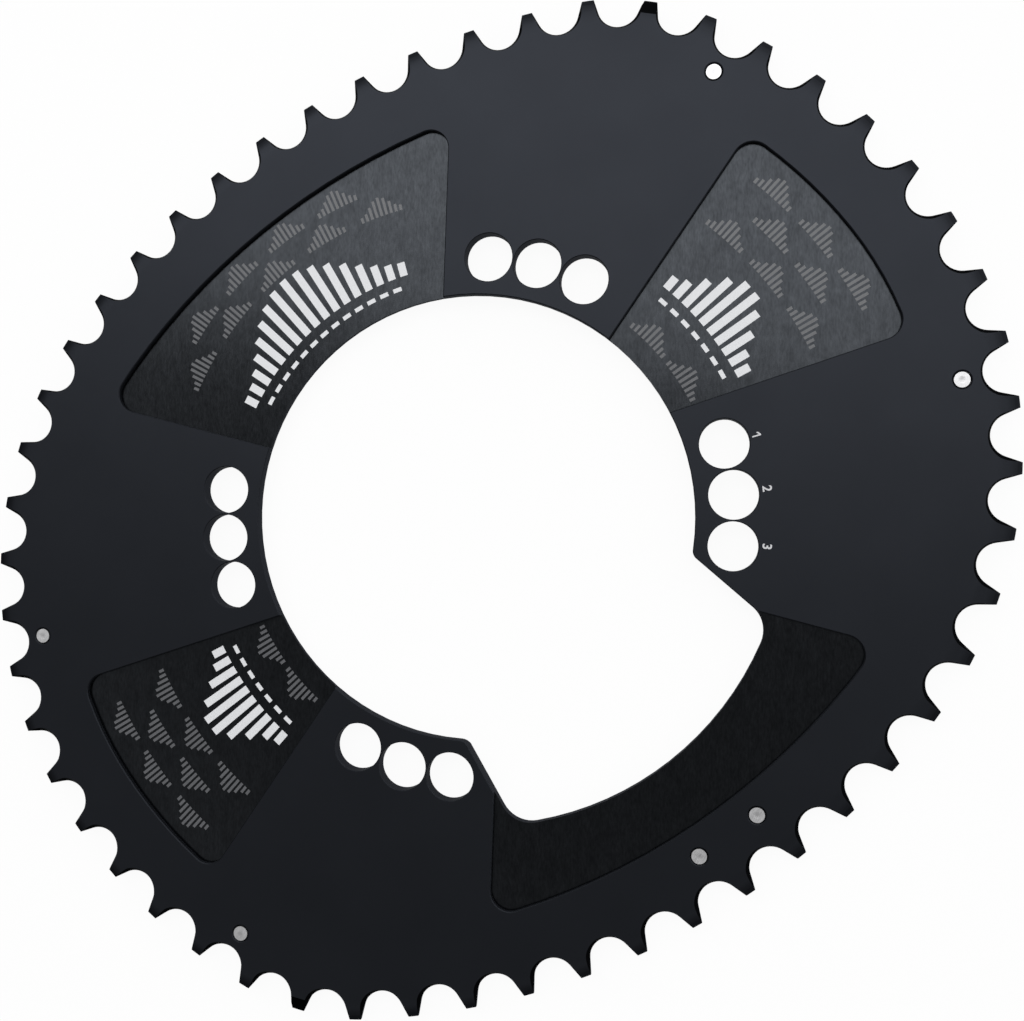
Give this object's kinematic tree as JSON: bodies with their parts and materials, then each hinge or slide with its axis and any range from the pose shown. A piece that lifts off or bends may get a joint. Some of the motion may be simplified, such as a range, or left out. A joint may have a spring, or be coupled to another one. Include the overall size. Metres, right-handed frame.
{
  "type": "bicycle chainring",
  "caption": "Oval outer bicycle chainring in black aluminium, with milled pockets, a large bore with a side cut-out, grouped bolt holes for timing, and riveted steel shift pins.",
  "frame": {"origin": "on the crank's axis, at the back face that seats on the spider", "axes": "+Z out of the outer face along the crank's axis, +X along the long way of the oval, midway between two arms"},
  "size_m": [0.2284, 0.1916, 0.0044],
  "materials": {
    "black_anodised_aluminium": "black anodised, satin",
    "bright_steel": "bright turned steel"
  },
  "bodies": {
    "root": {"chainring": "black_anodised_aluminium", "shift_pin_1": "bright_steel", "shift_pin_2": "bright_steel", "shift_pin_3": "bright_steel", "shift_pin_4": "bright_steel", "shift_pin_5": "bright_steel", "shift_pin_6": "bright_steel"}
  },
  "joints": []
}
